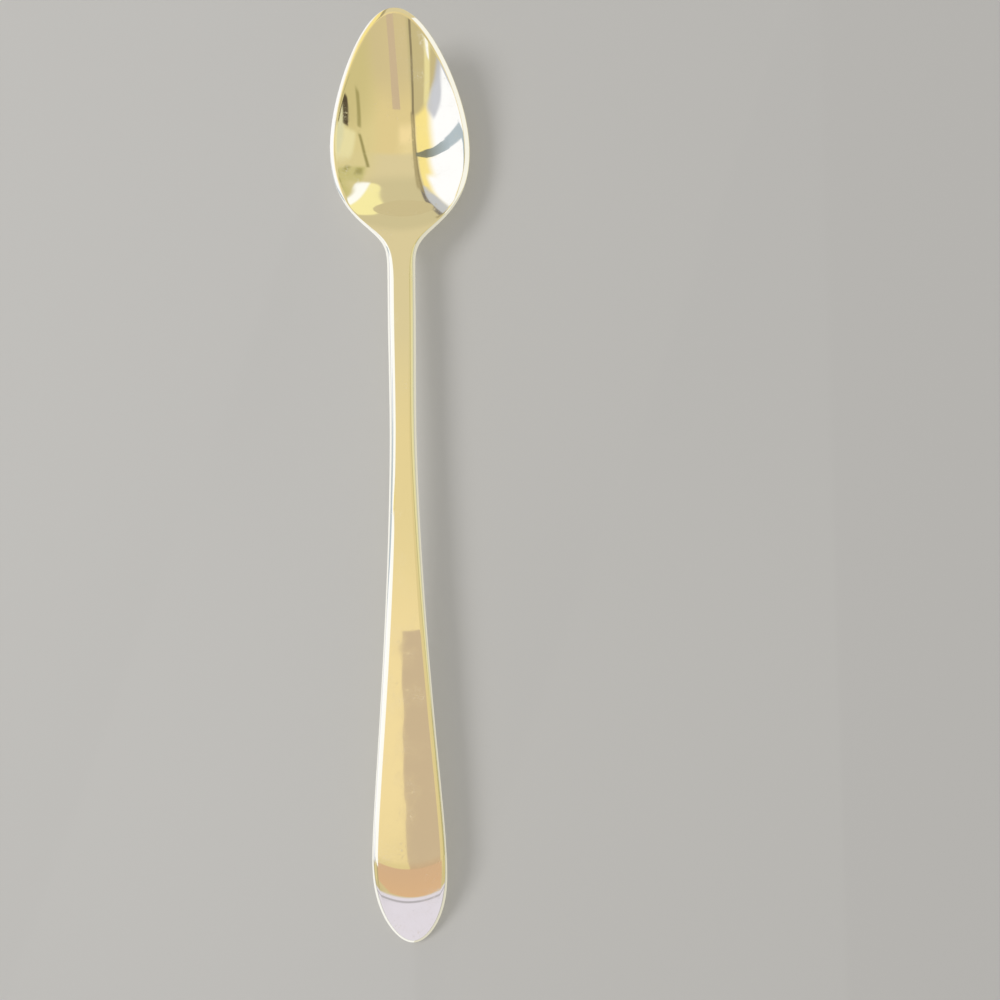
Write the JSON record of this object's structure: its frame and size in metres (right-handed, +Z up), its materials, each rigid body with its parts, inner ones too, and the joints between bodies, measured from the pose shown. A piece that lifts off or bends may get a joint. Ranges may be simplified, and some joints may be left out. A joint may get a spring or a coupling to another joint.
{
  "type": "iced tea spoon",
  "caption": "Long-handled stirring spoon in polished stainless steel with a small pointed egg-shaped bowl, a slim arched stem and a flared handle with a turned-down tip.",
  "frame": {"origin": "centre of the footprint, on the plane that the spoon rests on", "axes": "+X across the spoon, +Y from the tip of the handle to the point of the bowl, +Z up out of the hollow of the bowl"},
  "size_m": [0.029, 0.19, 0.0152],
  "materials": {
    "polished_steel": "mirror-polished stainless steel with fine hairline scratches from use"
  },
  "bodies": {
    "root": {"bowl": "polished_steel", "neck": "polished_steel", "stem": "polished_steel", "handle": "polished_steel", "tip": "polished_steel"}
  },
  "joints": []
}
